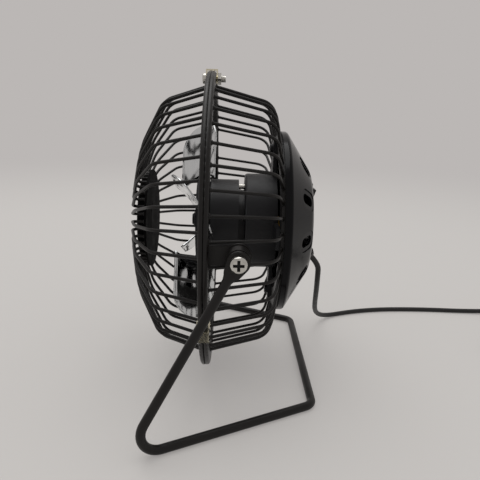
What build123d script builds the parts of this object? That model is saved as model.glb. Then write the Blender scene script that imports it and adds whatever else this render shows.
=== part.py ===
"""A small metal desk fan on a bent-rod stand.

Frame: millimetres, +Z up, the fan blows towards -Y, the two pivots lie along X.
The origin is on the table, under the middle of the fan's outline.
"""
from build123d import *
from math import atan2, cos, pi, radians, sin, tan
import os

# Stand: one bent rod, eyelets at both ends
rod_dia = 4.0
rim_rise = 5.0
eye_outset = 2.5
eye_dia = 9.2
eye_thick = 2.0
eye_neck = 8.8
eye_waist = 7.0
front_spread = 15.5
rear_half_span = 50.0
front_foot_reach = 43.2
rear_foot_reach = 37.0
front_bend = 9.0
rear_bend = 6.5

# Pivot hardware
screw_dia = 4.0
screw_clear = 0.1
screw_head_dia = 6.8
screw_head_height = 2.4
screw_depth = 6.0
screw_crown = 1.3
hole_extra = 1.0
recess_size = 4.4
recess_width = 1.2
recess_depth = 1.5
washer_thick = 0.6
spring_thick = 0.8
spring_dia = 6.8
spring_split = 0.5
washer_dia = 8.0
slip_gap = 0.05
post_dia = 9.6
post_spigot = 6.4
ear_inset = 1.5
ear_thick = 1.2
ear_height = 8.1
ear_end_dia = 10.4

# Ring of the cage, measured along the fan's axis from the joint of the two rims
ring_ahead = 14.1
rim_radius = 74.0
rim_width = 9.0
rim_depth = 2.1
rim_sheet = 0.8
rim_round = 1.3
rim_lip = 0.5

# Grille wires
wire_dia = 1.5
wire_count = 40
wire_inset = 2.5
front_wire_turn = 1.3
front_shoulder_in = 7.5
front_shoulder_depth = 22.5
front_bulge_radius = 42.0
front_bulge_depth = 32.0
front_tip_radius = 23.0
front_tip_depth = 36.4
front_shoulder_bend = 9.0
front_bulge_bend = 30.0
front_tip_bend = 2.4
rear_shoulder_in = 8.0
rear_shoulder_depth = 30.5
rear_shoulder_bend = 9.0
centre_plate_depth = 30.6
centre_plate_thick = 1.0
centre_plate_radius = 25.0
badge_clear = 0.6
badge_height = 4.0
badge_crown = 0.6
badge_bevel = 0.7
badge_peg = 9.0
peg_clear = 0.1

# Rear support ring and cover
support_edge = 2.0
support_width = 9.0
support_thick = 1.6
support_depth = 33.2
cover_radius = 46.0
cover_band = 3.0
cover_back = 50.7
cover_flat_radius = 26.0
cover_wall = 1.8
cover_edge_round = 2.0
cover_back_round = 11.0
vent_count = 10
vent_length = 9.6
vent_width = 4.8
vent_radius = 31.6
vent_start = 5.0
vent_margin = 2.3
vent_sink = 0.6

# Motor shell, spacer and rear housing
shell_radius = 21.0
shell_wall = 1.6
shell_front = 0.2
shell_back = 14.5
shell_round = 1.2
housing_radius = 24.3
housing_wall = 1.8
housing_front = 17.5
housing_round = 1.5
flange_thick = 1.9
flange_edge = 2.0
flange_arm = 9.0
flange_arms = 4
spacer_radius = 15.6
spacer_seat = 3.0
tie_screw_dia = 2.6
tie_screw_radius = 17.6
tie_screw_head_dia = 4.6
tie_screw_head = 1.6
flange_screws = 2
flange_screw_dia = 2.6
flange_screw_inset = 2.5
flange_screw_depth = 3.4
flange_boss_dia = 6.0

# Motor
motor_radius = 12.0
motor_length = 28.0
motor_wall = 1.0
motor_cap_thick = 3.0
shaft_dia = 2.3
bush_dia = 6.0
bush_length = 3.0
run_clear = 0.05
rotor_radius = 8.6
rotor_length = 16.0
bush_outer = 4.0
terminal_width = 2.8
terminal_thick = 0.6
terminal_out = 4.0
terminal_offset = 6.5
magnet_gap = 0.5
magnet_slot = 6.0
rotor_slots = 5
rotor_slot_wide = 1.6
rotor_slot_deep = 3.0

# Blades and hub
hub_clear = 1.5
hub_front = 6.5
hub_back = 1.0
hub_wall = 1.6
hub_round = 1.5
hub_boss_dia = 8.0
nut_across = 7.0
nut_height = 1.8
nut_dome_dia = 6.2
nut_dome = 0.9
nut_dome_taper = 25.0
blade_count = 4
blade_tip = 51.0
blade_thick = 0.8
blade_chord = 32.0
blade_root_chord = 26.0
blade_pitch = 36.0
blade_camber = 2.0
blade_middle = 7.5
blade_corner = 9.0
blade_start = 68.0

# Rim screw and clips
rim_hole_inset = 3.6
rim_screw_dia = 3.0
rim_screw_head_dia = 5.2
rim_screw_head = 1.8
rim_screw_crown = 0.9
rim_screw_tail = 2.2
rim_nut_across = 5.5
rim_nut_height = 1.6
clip_angle = 120.0
clip_width = 7.0
clip_wall = 0.7
clip_gap = 0.1
clip_grip = 6.0

# Switch
switch_rise = 13.0
switch_width = 8.6
switch_height = 13.4
switch_deep = 9.0
bezel_margin = 1.1
bezel_thick = 1.2
panel_clear = 0.15
rocker_radius = 5.0
rocker_width = 6.2
rocker_clear = 0.3
rocker_face = 1.5
rocker_tilt = 9.0
rocker_sink = 0.6

# Lead, its outlet and its plug
cord_dia = 3.0
outlet_drop = 15.0
outlet_sink = 0.8
outlet_dia = 7.4
outlet_bore = 5.0
outlet_out = 4.0
outlet_in = 5.0
outlet_taper = 3.0
relief_tip_dia = 4.0
relief_out = 2.0
lead_straight = 6.4
relief_flange_dia = 6.4
cord_clear = 0.05
outlet_aim = (-0.3, 0.74, -0.6)
coil_centre = (-45.0, 216.0)
coil_outer = 26.5
coil_pitch = 4.1
coil_turns = 4
coil_layer = 3.9
coil_last_step = 6.0
strap_thick = 0.8
strap_width = 4.0
strap_clear = 0.5
plug_width = 16.0
plug_height = 9.0
plug_length = 24.0
plug_round = 2.0
plug_shoulder = 1.6
plug_relief_length = 12.0
plug_relief_dia = 5.0
plug_lead = 5.0
usb_width = 12.0
usb_height = 4.5
usb_length = 13.0
usb_sheet = 0.35
usb_window = 2.4
usb_window_out = 7.2
tongue_thick = 1.9
tongue_length = 12.0
contact_step = 2.4
contact_width = 1.0
contact_thick = 0.25
contact_length = 10.0
contact_count = 4

# Places that follow from the sizes
cord_r = cord_dia / 2
rod_r = rod_dia / 2
wire_r = wire_dia / 2
pivot_height = rim_radius + rim_rise
eye_half_span = rim_radius + eye_outset
front_half_span = eye_half_span + front_spread
hub_radius = shell_radius + hub_clear
rim_inner = rim_radius - rim_width
wire_root = rim_inner + wire_inset
front_shoulder_radius = wire_root - front_shoulder_in
rear_shoulder_radius = wire_root - rear_shoulder_in
rim_hole_radius = rim_radius - rim_hole_inset
support_outer = cover_radius - support_edge
support_inner = support_outer - support_width
flange_radius = support_outer - flange_edge
flange_screw_radius = support_inner + flange_screw_inset
front_reach = front_tip_depth
rear_reach = cover_back + bezel_thick + rocker_face
ring_y = (front_reach - rear_reach) / 2
pivot_y = ring_y + ring_ahead
fan_axis = Axis((0, ring_y, pivot_height), (0, 1, 0))
profile_plane = Plane((0, ring_y, pivot_height))
fan_plane = Plane((0, ring_y, pivot_height), x_dir=(1, 0, 0), z_dir=(0, 1, 0))
os.makedirs("parts", exist_ok=True)


def depth_plane(depth):
    """A plane square to the fan's axis, its normal towards the back."""
    return fan_plane.offset(depth)


def save(builder, label):
    """Name a finished piece and write its file."""
    builder.part.label = label
    export_step(builder.part, "parts/" + label + ".step")


# Stand: the rod runs up from the table to a flattened eyelet on each side
arm_angle = atan2(front_foot_reach, pivot_height - rod_r)
arm_y, arm_z = -sin(arm_angle), -cos(arm_angle)
front_y = pivot_y - front_foot_reach
rear_y = pivot_y + rear_foot_reach
neck_y = pivot_y + eye_neck * arm_y
neck_z = pivot_height + eye_neck * arm_z

with BuildPart() as stand_rod:
    with BuildLine() as rod_path:
        FilletPolyline(
            (eye_half_span, neck_y, neck_z),
            (front_half_span, front_y, rod_r),
            (rear_half_span, rear_y, rod_r),
            (-rear_half_span, rear_y, rod_r),
            (-front_half_span, front_y, rod_r),
            (-eye_half_span, neck_y, neck_z),
            radius=[front_bend, rear_bend, rear_bend, front_bend],
        )
    with BuildSketch(Plane(rod_path.line @ 0, z_dir=rod_path.line % 0)):
        Circle(rod_r)
    sweep()
    for side in (1, -1):
        eye_centre = (side * eye_half_span, pivot_y, pivot_height)
        eye_plane = Plane(eye_centre, x_dir=(0, 1, 0), z_dir=(1, 0, 0))
        start = rod_path.line @ (0 if side == 1 else 1)
        inward = (rod_path.line % 0) if side == 1 else (rod_path.line % 1) * -1
        across = Vector(0, -arm_z, arm_y)
        with BuildSketch(Plane(start, x_dir=across, z_dir=inward)):
            Circle(rod_r)
        flat_spot = Vector(*eye_centre) + Vector(0, arm_y, arm_z) * (eye_dia / 2)
        with BuildSketch(Plane(flat_spot, x_dir=across, z_dir=(0, arm_y, arm_z))):
            Ellipse(eye_waist / 2, eye_thick / 2)
        loft()
        with BuildSketch(eye_plane):
            Circle(eye_dia / 2)
            with Locations((arm_y * eye_dia / 2, arm_z * eye_dia / 2)):
                Circle(eye_waist / 2)
            make_hull()
        extrude(amount=eye_thick / 2, both=True)
    with BuildSketch(Plane.YZ):
        with Locations((pivot_y, pivot_height)):
            Circle(screw_dia / 2 + screw_clear)
    extrude(amount=eye_half_span + eye_dia, both=True, mode=Mode.SUBTRACT)
save(stand_rod, "stand_rod")

# Pivot stack on each side: ear, post, fibre washer, eyelet, spring washer, screw
washer_face = eye_half_span - eye_thick / 2 - slip_gap
post_end = washer_face - washer_thick
spring_face = eye_half_span + eye_thick / 2 + slip_gap
head_face = spring_face + spring_thick
ear_face = rim_inner + ear_inset
post_start = ear_face + ear_thick
ear_run = ring_ahead - rim_depth


def pivot_plane(side, reach):
    """A plane square to the pivot line, facing out on the given side."""
    return Plane((side * reach, pivot_y, pivot_height), x_dir=(0, 0, 1), z_dir=(side, 0, 0))


with BuildPart() as pivot_ears:
    for side in (1, -1):
        with BuildSketch(pivot_plane(side, ear_face)):
            Circle(ear_end_dia / 2)
            with Locations((0, side * ear_run / 2)):
                Rectangle(ear_height, ear_run)
            Circle(post_spigot / 2, mode=Mode.SUBTRACT)
        extrude(amount=ear_thick)
save(pivot_ears, "pivot_ears")

with BuildPart() as pivot_posts:
    for side in (1, -1):
        with BuildSketch(pivot_plane(side, post_start)):
            Circle(post_dia / 2)
        extrude(amount=post_end - post_start)
        with BuildSketch(pivot_plane(side, ear_face)):
            Circle(post_spigot / 2)
        extrude(amount=ear_thick)
        with BuildSketch(pivot_plane(side, post_end)):
            Circle(screw_dia / 2)
        extrude(amount=-screw_depth - hole_extra, mode=Mode.SUBTRACT)
save(pivot_posts, "pivot_posts")

with BuildPart() as pivot_washers:
    for side in (1, -1):
        with BuildSketch(pivot_plane(side, post_end)):
            Circle(washer_dia / 2)
            Circle(screw_dia / 2 + screw_clear, mode=Mode.SUBTRACT)
        extrude(amount=washer_thick)
save(pivot_washers, "pivot_washers")

with BuildPart() as spring_washers:
    for side in (1, -1):
        with BuildSketch(pivot_plane(side, spring_face)):
            Circle(spring_dia / 2)
            Circle(screw_dia / 2 + screw_clear, mode=Mode.SUBTRACT)
            with Locations((spring_dia / 2, 0)):
                Rectangle(screw_dia, spring_split, mode=Mode.SUBTRACT)
        extrude(amount=spring_thick)
save(spring_washers, "spring_washers")

with BuildPart() as pivot_screws:
    for side in (1, -1):
        with BuildSketch(pivot_plane(side, head_face)):
            Circle(screw_head_dia / 2)
        extrude(amount=screw_head_height)
        crown = pivot_screws.faces().sort_by(Axis.X)[-1 if side == 1 else 0]
        fillet(crown.edges(), screw_crown)
        with BuildSketch(pivot_plane(side, head_face + screw_head_height)):
            Rectangle(recess_size, recess_width)
            Rectangle(recess_width, recess_size)
        extrude(amount=-recess_depth, mode=Mode.SUBTRACT)
        with BuildSketch(pivot_plane(side, head_face)):
            Circle(screw_dia / 2)
        extrude(amount=-(head_face - post_end) - screw_depth)
save(pivot_screws, "pivot_screws")

# Rims: two rolled channels that meet at the ring plane
rim_face = {"front": -1, "rear": 1}
for name, way in rim_face.items():
    with BuildPart() as rim:
        with BuildSketch(profile_plane):
            with BuildLine():
                FilletPolyline(
                    (rim_inner, 0),
                    (rim_inner, way * rim_depth),
                    (rim_radius, way * rim_depth),
                    (rim_radius, 0),
                    (rim_radius - rim_sheet, 0),
                    (rim_radius - rim_sheet, way * (rim_depth - rim_sheet)),
                    (rim_inner + rim_sheet, way * (rim_depth - rim_sheet)),
                    (rim_inner + rim_sheet, 0),
                    radius=[rim_round, rim_round, rim_lip, 0, 0, 0],
                )
                Line((rim_inner + rim_sheet, 0), (rim_inner, 0))
            make_face()
        revolve(axis=fan_axis)
        with BuildSketch(fan_plane):
            with Locations((0, -rim_hole_radius)):
                Circle(rim_screw_dia / 2 + screw_clear)
        extrude(amount=way * rim_depth, mode=Mode.SUBTRACT)
    save(rim, name + "_rim")

# Grille wires: one wire in its own radial plane, trimmed at the rim, then copied round
with BuildPart() as front_wire:
    with BuildLine(Plane.XZ) as front_wire_path:
        FilletPolyline(
            (wire_root, 0),
            (front_shoulder_radius, -front_shoulder_depth),
            (front_bulge_radius, -front_bulge_depth),
            (front_tip_radius, -front_tip_depth),
            (front_tip_radius, -centre_plate_depth),
            radius=[front_shoulder_bend, front_bulge_bend, front_tip_bend],
        )
    with BuildSketch(Plane(front_wire_path.line @ 0, z_dir=front_wire_path.line % 0)):
        Circle(wire_r)
    sweep()
    split(bisect_by=Plane.XY.offset(-rim_depth), keep=Keep.BOTTOM)

with BuildPart(fan_plane) as front_grille_wires:
    with PolarLocations(0, wire_count, start_angle=front_wire_turn):
        add(front_wire.part)
save(front_grille_wires, "front_grille_wires")

with BuildPart() as rear_wire:
    with BuildLine(Plane.XZ) as rear_wire_path:
        FilletPolyline(
            (wire_root, 0),
            (rear_shoulder_radius, rear_shoulder_depth),
            (support_outer - wire_dia, support_depth + wire_dia / 2),
            radius=rear_shoulder_bend,
        )
    with BuildSketch(Plane(rear_wire_path.line @ 0, z_dir=rear_wire_path.line % 0)):
        Circle(wire_r)
    sweep()
    split(bisect_by=Plane.XY.offset(rim_depth), keep=Keep.TOP)
    with BuildSketch(Plane.XY):
        Circle(support_outer)
    extrude(amount=cover_back, mode=Mode.SUBTRACT)

with BuildPart(fan_plane) as rear_grille_wires:
    with PolarLocations(0, wire_count, start_angle=180 / wire_count):
        add(rear_wire.part)
save(rear_grille_wires, "rear_grille_wires")

# Centre of the front grille: a welded plate, with a plain domed disc on it
badge_radius = front_tip_radius - wire_r - badge_clear
with BuildPart() as centre_plate:
    with BuildSketch(depth_plane(-centre_plate_depth)):
        Circle(centre_plate_radius)
        Circle(badge_peg, mode=Mode.SUBTRACT)
    extrude(amount=centre_plate_thick)
save(centre_plate, "front_centre_plate")

badge_face = centre_plate_depth + badge_height
badge_flat = badge_radius - badge_bevel
crown_radius = (badge_flat**2 + badge_crown**2) / (2 * badge_crown)
with BuildPart() as badge_disc:
    with BuildSketch(profile_plane):
        with BuildLine():
            Polyline(
                (0, -badge_face - badge_crown),
                (0, -centre_plate_depth),
                (badge_radius, -centre_plate_depth),
                (badge_radius, -badge_face + badge_bevel),
                (badge_flat, -badge_face),
            )
            RadiusArc(
                (badge_flat, -badge_face),
                (0, -badge_face - badge_crown),
                crown_radius,
            )
        make_face()
    revolve(axis=fan_axis)
    with BuildSketch(depth_plane(-centre_plate_depth)):
        Circle(badge_peg - peg_clear)
    extrude(amount=centre_plate_thick + peg_clear)
save(badge_disc, "badge_disc")

# Support ring that the rear wires are welded to, between housing and cover
with BuildPart() as support_ring:
    with BuildSketch(depth_plane(support_depth)):
        Circle(support_outer)
        Circle(support_inner, mode=Mode.SUBTRACT)
        with PolarLocations(flange_screw_radius, flange_screws, start_angle=90):
            Circle(flange_screw_dia / 2, mode=Mode.SUBTRACT)
    extrude(amount=support_thick)
save(support_ring, "rear_support_ring")

# Rear cover: a shallow shell with a coned, vented wall and a flat back
cover_front = support_depth + support_thick
band_back = cover_front + cover_band
cone_run = cover_radius - cover_flat_radius
cone_rise = cover_back - band_back
cone_slope = atan2(cone_rise, cone_run)
inner_flat = cover_flat_radius - cover_wall * tan(cone_slope / 2)
inner_band = band_back - cover_wall * tan((pi / 2 - cone_slope) / 2)
boss_run = cover_radius - cover_wall - flange_screw_radius
boss_height = inner_band + boss_run * tan(cone_slope) - cover_front
outlet_dir = Vector(*outlet_aim).normalized()
outlet_spot = Vector(0, ring_y + cover_back - outlet_sink, pivot_height - outlet_drop)
outlet_plane = Plane(outlet_spot, x_dir=(1, 0, 0), z_dir=outlet_dir)
switch_z = pivot_height + switch_rise
panel_y = ring_y + cover_back
switch_plane = Plane((0, panel_y, switch_z), x_dir=(-1, 0, 0), z_dir=(0, 1, 0))

vent_depth = band_back + (cover_radius - vent_radius) * tan(cone_slope)
vent_plane = Plane(
    (vent_radius, 0, vent_depth),
    x_dir=(cos(cone_slope), 0, -sin(cone_slope)),
    z_dir=(sin(cone_slope), 0, cos(cone_slope)),
)
with BuildPart() as vent_cutter:
    with BuildSketch(vent_plane):
        SlotOverall(vent_length, vent_width)
    extrude(amount=cover_wall * 2, both=True)
    with BuildSketch(vent_plane.offset(-vent_sink)):
        SlotOverall(vent_length + 2 * vent_margin, vent_width + 2 * vent_margin)
    extrude(amount=cover_wall * 2)

with BuildPart(fan_plane) as rear_cover:
    with BuildSketch(profile_plane):
        with BuildLine():
            FilletPolyline(
                (0, cover_back),
                (cover_flat_radius, cover_back),
                (cover_radius, band_back),
                (cover_radius, cover_front),
                (0, cover_front),
                radius=[cover_back_round, cover_edge_round, 0],
            )
            Line((0, cover_front), (0, cover_back))
        make_face()
    revolve(axis=fan_axis)
    with BuildSketch(profile_plane):
        with BuildLine():
            FilletPolyline(
                (0, cover_back - cover_wall),
                (inner_flat, cover_back - cover_wall),
                (cover_radius - cover_wall, inner_band),
                (cover_radius - cover_wall, cover_front),
                (0, cover_front),
                radius=[cover_back_round - cover_wall, 0, 0],
            )
            Line((0, cover_front), (0, cover_back - cover_wall))
        make_face()
    revolve(axis=fan_axis, mode=Mode.SUBTRACT)
    with BuildSketch(depth_plane(cover_front)):
        with PolarLocations(flange_screw_radius, flange_screws, start_angle=90):
            Circle(flange_boss_dia / 2)
    extrude(amount=boss_height)
    with BuildSketch(depth_plane(cover_front)):
        with PolarLocations(flange_screw_radius, flange_screws, start_angle=90):
            Circle(flange_screw_dia / 2)
    extrude(amount=flange_screw_depth, mode=Mode.SUBTRACT)
    with BuildSketch(outlet_plane.offset(-outlet_in)):
        Circle(outlet_dia / 2)
    extrude(amount=outlet_in + outlet_out, taper=outlet_taper)
    with BuildSketch(outlet_plane.offset(-outlet_in)):
        Circle(outlet_bore / 2)
    extrude(amount=outlet_in + outlet_out + hole_extra, mode=Mode.SUBTRACT)
    with PolarLocations(0, vent_count, start_angle=vent_start):
        add(vent_cutter.part, mode=Mode.SUBTRACT)
    with BuildSketch(switch_plane):
        Rectangle(switch_width + 2 * panel_clear, switch_height + 2 * panel_clear)
    extrude(amount=-cover_wall * 2, mode=Mode.SUBTRACT)
save(rear_cover, "rear_cover")

# Motor shell: a cup round the front of the motor
with BuildPart() as motor_shell:
    with BuildSketch(depth_plane(-shell_front)):
        Circle(shell_radius)
    extrude(amount=shell_front + shell_back)
    fillet(motor_shell.faces().sort_by(Axis.Y)[0].edges(), shell_round)
    with BuildSketch(depth_plane(shell_wall)):
        Circle(shell_radius - shell_wall)
    extrude(amount=shell_back, mode=Mode.SUBTRACT)
    with BuildSketch(fan_plane):
        Circle(bush_dia / 2 + run_clear)
    extrude(amount=shell_wall * 2, both=True, mode=Mode.SUBTRACT)
save(motor_shell, "motor_shell")

# Spacer: seats in the shell's mouth and leaves a narrow neck before the housing
with BuildPart() as motor_spacer:
    with BuildSketch(depth_plane(shell_back - spacer_seat)):
        Circle(shell_radius - shell_wall)
    extrude(amount=spacer_seat)
    with BuildSketch(depth_plane(shell_back)):
        Circle(spacer_radius)
    extrude(amount=housing_front - shell_back)
    with BuildSketch(depth_plane(shell_back - spacer_seat)):
        Circle(motor_radius)
        with PolarLocations(tie_screw_radius, 2, start_angle=90):
            Circle(tie_screw_dia / 2)
    extrude(amount=housing_front, mode=Mode.SUBTRACT)
save(motor_spacer, "motor_spacer")

# Rear housing: a wider drum with arms that the support ring seats on
flange_front = support_depth - flange_thick
with BuildPart() as rear_housing:
    with BuildSketch(depth_plane(housing_front)):
        Circle(housing_radius)
    extrude(amount=support_depth - housing_front)
    fillet(rear_housing.faces().sort_by(Axis.Y)[0].edges(), housing_round)
    with BuildSketch(depth_plane(flange_front)):
        with PolarLocations(flange_radius / 2, flange_arms):
            Rectangle(flange_radius, flange_arm)
        Circle(flange_radius, mode=Mode.INTERSECT)
    extrude(amount=flange_thick)
    with BuildSketch(depth_plane(housing_front + housing_wall)):
        Circle(housing_radius - housing_wall)
    extrude(amount=support_depth, mode=Mode.SUBTRACT)
    with BuildSketch(depth_plane(housing_front)):
        Circle(motor_radius)
        with PolarLocations(tie_screw_radius, 2, start_angle=90):
            Circle(tie_screw_dia / 2)
    extrude(amount=housing_wall, mode=Mode.SUBTRACT)
    with BuildSketch(depth_plane(flange_front)):
        with PolarLocations(flange_screw_radius, flange_screws, start_angle=90):
            Circle(flange_screw_dia / 2)
    extrude(amount=flange_thick, mode=Mode.SUBTRACT)
save(rear_housing, "rear_housing")

with BuildPart() as tie_screws:
    with BuildSketch(depth_plane(shell_back - spacer_seat)):
        with PolarLocations(tie_screw_radius, 2, start_angle=90):
            Circle(tie_screw_dia / 2)
    extrude(amount=spacer_seat + housing_front - shell_back + housing_wall)
    with BuildSketch(depth_plane(housing_front + housing_wall)):
        with PolarLocations(tie_screw_radius, 2, start_angle=90):
            Circle(tie_screw_head_dia / 2)
    extrude(amount=tie_screw_head)
save(tie_screws, "housing_screws")

with BuildPart() as flange_screw_set:
    with BuildSketch(depth_plane(flange_front)):
        with PolarLocations(flange_screw_radius, flange_screws, start_angle=90):
            Circle(flange_screw_dia / 2)
    extrude(amount=flange_thick + support_thick + flange_screw_depth)
    with BuildSketch(depth_plane(flange_front)):
        with PolarLocations(flange_screw_radius, flange_screws, start_angle=90):
            Circle(tie_screw_head_dia / 2)
    extrude(amount=-tie_screw_head)
save(flange_screw_set, "cover_screws")

# Motor: can with magnets, end cap, bushings, terminals, and the rotor on its shaft
can_front = shell_wall
can_back = can_front + motor_length
cap_back = can_back + motor_cap_thick
bush_bore = shaft_dia / 2 + run_clear
with BuildPart() as motor_can:
    with BuildSketch(depth_plane(can_front)):
        Circle(motor_radius)
    extrude(amount=motor_length)
    with BuildSketch(depth_plane(0)):
        Circle(bush_dia / 2)
    extrude(amount=can_front)
    with BuildSketch(depth_plane(can_front + motor_wall)):
        Circle(motor_radius - motor_wall)
    extrude(amount=motor_length, mode=Mode.SUBTRACT)
    with BuildSketch(depth_plane(0)):
        Circle(bush_outer / 2)
    extrude(amount=can_front + motor_wall, mode=Mode.SUBTRACT)
save(motor_can, "motor_can")

with BuildPart() as motor_cap:
    with BuildSketch(depth_plane(can_back)):
        Circle(motor_radius)
        Circle(bush_outer / 2, mode=Mode.SUBTRACT)
        with Locations((terminal_offset, 0), (-terminal_offset, 0)):
            Rectangle(terminal_thick, terminal_width, mode=Mode.SUBTRACT)
    extrude(amount=motor_cap_thick)
save(motor_cap, "motor_end_cap")

with BuildPart() as motor_bushings:
    for start in (0, can_back):
        with BuildSketch(depth_plane(start)):
            Circle(bush_outer / 2)
            Circle(bush_bore, mode=Mode.SUBTRACT)
        extrude(amount=bush_length if start else can_front + motor_wall)
save(motor_bushings, "motor_bushings")

with BuildPart() as motor_terminals:
    with BuildSketch(depth_plane(can_back)):
        with Locations((terminal_offset, 0), (-terminal_offset, 0)):
            Rectangle(terminal_thick, terminal_width)
    extrude(amount=motor_cap_thick + terminal_out)
save(motor_terminals, "motor_terminals")

rotor_front = can_front + (motor_length - rotor_length) / 2
with BuildPart() as motor_magnets:
    with BuildSketch(depth_plane(rotor_front)):
        Circle(motor_radius - motor_wall)
        Circle(rotor_radius + magnet_gap, mode=Mode.SUBTRACT)
        Rectangle(magnet_slot, motor_radius * 2, mode=Mode.SUBTRACT)
    extrude(amount=rotor_length)
save(motor_magnets, "motor_magnets")

with BuildPart() as motor_rotor:
    with BuildSketch(depth_plane(rotor_front)):
        Circle(rotor_radius)
        Circle(shaft_dia / 2, mode=Mode.SUBTRACT)
        with PolarLocations(rotor_radius, rotor_slots):
            Rectangle(rotor_slot_deep * 2, rotor_slot_wide, mode=Mode.SUBTRACT)
    extrude(amount=rotor_length)
save(motor_rotor, "motor_rotor")

with BuildPart() as motor_shaft:
    with BuildSketch(depth_plane(-hub_front - nut_height / 2)):
        Circle(shaft_dia / 2)
    extrude(amount=hub_front + nut_height / 2 + cap_back)
save(motor_shaft, "motor_shaft")

# Hub cup on the shaft, its dome nut, and the sheet blades on its wall
with BuildPart() as blade_hub:
    with BuildSketch(depth_plane(-hub_front)):
        Circle(hub_radius)
    extrude(amount=hub_front - hub_back)
    fillet(blade_hub.faces().sort_by(Axis.Y)[0].edges(), hub_round)
    with BuildSketch(depth_plane(-hub_front + hub_wall)):
        Circle(hub_radius - hub_wall)
        Circle(hub_boss_dia / 2, mode=Mode.SUBTRACT)
    extrude(amount=hub_front, mode=Mode.SUBTRACT)
    with BuildSketch(depth_plane(-hub_front)):
        Circle(shaft_dia / 2)
    extrude(amount=hub_front, mode=Mode.SUBTRACT)
save(blade_hub, "blade_hub")

with BuildPart() as hub_nut:
    with BuildSketch(depth_plane(-hub_front)):
        RegularPolygon(nut_across / 2, 6, major_radius=False)
    extrude(amount=-nut_height)
    with BuildSketch(depth_plane(-hub_front - nut_height)):
        Circle(nut_dome_dia / 2)
    extrude(amount=-nut_dome, taper=nut_dome_taper)
    with BuildSketch(depth_plane(-hub_front)):
        Circle(shaft_dia / 2)
    extrude(amount=-nut_height / 2, mode=Mode.SUBTRACT)
save(hub_nut, "hub_nut")

pitch = radians(blade_pitch)
chord_dir = Vector(cos(pitch), sin(pitch))
face_dir = Vector(-sin(pitch), cos(pitch))
blade_mid = Vector(0, -blade_middle)
lead_edge = blade_mid - chord_dir * (blade_chord / 2)
trail_edge = blade_mid + chord_dir * (blade_chord / 2)
crest = blade_mid + face_dir * blade_camber
skin = face_dir * blade_thick
with BuildPart() as blade:
    with BuildSketch(Plane.YZ):
        with BuildLine():
            ThreePointArc(lead_edge, crest, trail_edge)
            Line(trail_edge, trail_edge + skin)
            ThreePointArc(trail_edge + skin, crest + skin, lead_edge + skin)
            Line(lead_edge + skin, lead_edge)
        make_face()
    extrude(amount=blade_tip)
    with BuildSketch(Plane.XY.offset(-blade_chord)) as blade_outline:
        Polygon(
            (0, -blade_root_chord / 2),
            (hub_radius, -blade_root_chord / 2),
            (blade_tip, -blade_chord * cos(pitch) / 2),
            (blade_tip, blade_chord * cos(pitch) / 2),
            (hub_radius, blade_root_chord / 2),
            (0, blade_root_chord / 2),
            align=None,
        )
        Circle(blade_tip, mode=Mode.INTERSECT)
        fillet(blade_outline.vertices().sort_by(Axis.X)[-2:], blade_corner)
    extrude(amount=2 * blade_chord, mode=Mode.INTERSECT)
    with BuildSketch(Plane.XY.offset(-blade_chord)):
        Circle(hub_radius)
    extrude(amount=2 * blade_chord, mode=Mode.SUBTRACT)

with BuildPart(fan_plane) as fan_blades:
    with PolarLocations(0, blade_count, start_angle=blade_start):
        add(blade.part)
save(fan_blades, "fan_blades")

# Rim fastening: a spring clip at the top, with a screw and nut through it, and one low on each side
clip_seat = rim_radius + clip_gap
clip_half = rim_depth + clip_gap
clip_face = clip_half + clip_wall
with BuildPart() as rim_screw:
    with BuildSketch(depth_plane(-clip_face)):
        with Locations((0, -rim_hole_radius)):
            Circle(rim_screw_head_dia / 2)
    extrude(amount=-rim_screw_head)
    fillet(rim_screw.faces().sort_by(Axis.Y)[0].edges(), rim_screw_crown)
    with BuildSketch(depth_plane(-clip_face)):
        with Locations((0, -rim_hole_radius)):
            Circle(rim_screw_dia / 2)
    extrude(amount=2 * clip_face + rim_nut_height + rim_screw_tail)
save(rim_screw, "rim_screw")

with BuildPart() as rim_nut:
    with BuildSketch(depth_plane(clip_face)):
        with Locations((0, -rim_hole_radius)):
            RegularPolygon(rim_nut_across / 2, 6, major_radius=False)
            Circle(rim_screw_dia / 2, mode=Mode.SUBTRACT)
    extrude(amount=rim_nut_height)
save(rim_nut, "rim_nut")

with BuildPart() as clip:
    with BuildSketch(Plane.XZ.offset(-clip_width / 2)):
        with BuildLine():
            Polyline(
                (clip_seat - clip_grip, -clip_half),
                (clip_seat, -clip_half),
                (clip_seat, clip_half),
                (clip_seat - clip_grip, clip_half),
                (clip_seat - clip_grip, clip_face),
                (clip_seat + clip_wall, clip_face),
                (clip_seat + clip_wall, -clip_face),
                (clip_seat - clip_grip, -clip_face),
                close=True,
            )
        make_face()
    extrude(amount=clip_width)

with BuildPart(fan_plane) as rim_clips:
    for turn in (-90, clip_angle - 90, 270 - clip_angle):
        with PolarLocations(0, 1, start_angle=turn):
            add(clip.part)
    with BuildSketch(fan_plane):
        with Locations((0, -rim_hole_radius)):
            Circle(rim_screw_dia / 2 + screw_clear)
    extrude(amount=clip_face, both=True, mode=Mode.SUBTRACT)
save(rim_clips, "rim_clips")

# Switch in the back of the cover: body with bezel, and a rocker on its cross axis
rocker_pin = panel_y + bezel_thick - rocker_sink
with BuildPart() as switch_body:
    with BuildSketch(switch_plane):
        Rectangle(switch_width, switch_height)
    extrude(amount=-switch_deep)
    with BuildSketch(switch_plane):
        Rectangle(switch_width + 2 * bezel_margin, switch_height + 2 * bezel_margin)
    extrude(amount=bezel_thick)
    with BuildSketch(Plane.YZ):
        with Locations((rocker_pin, switch_z)):
            Circle(rocker_radius + rocker_clear)
    extrude(amount=rocker_width / 2 + rocker_clear, both=True, mode=Mode.SUBTRACT)
save(switch_body, "switch_body")

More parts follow.
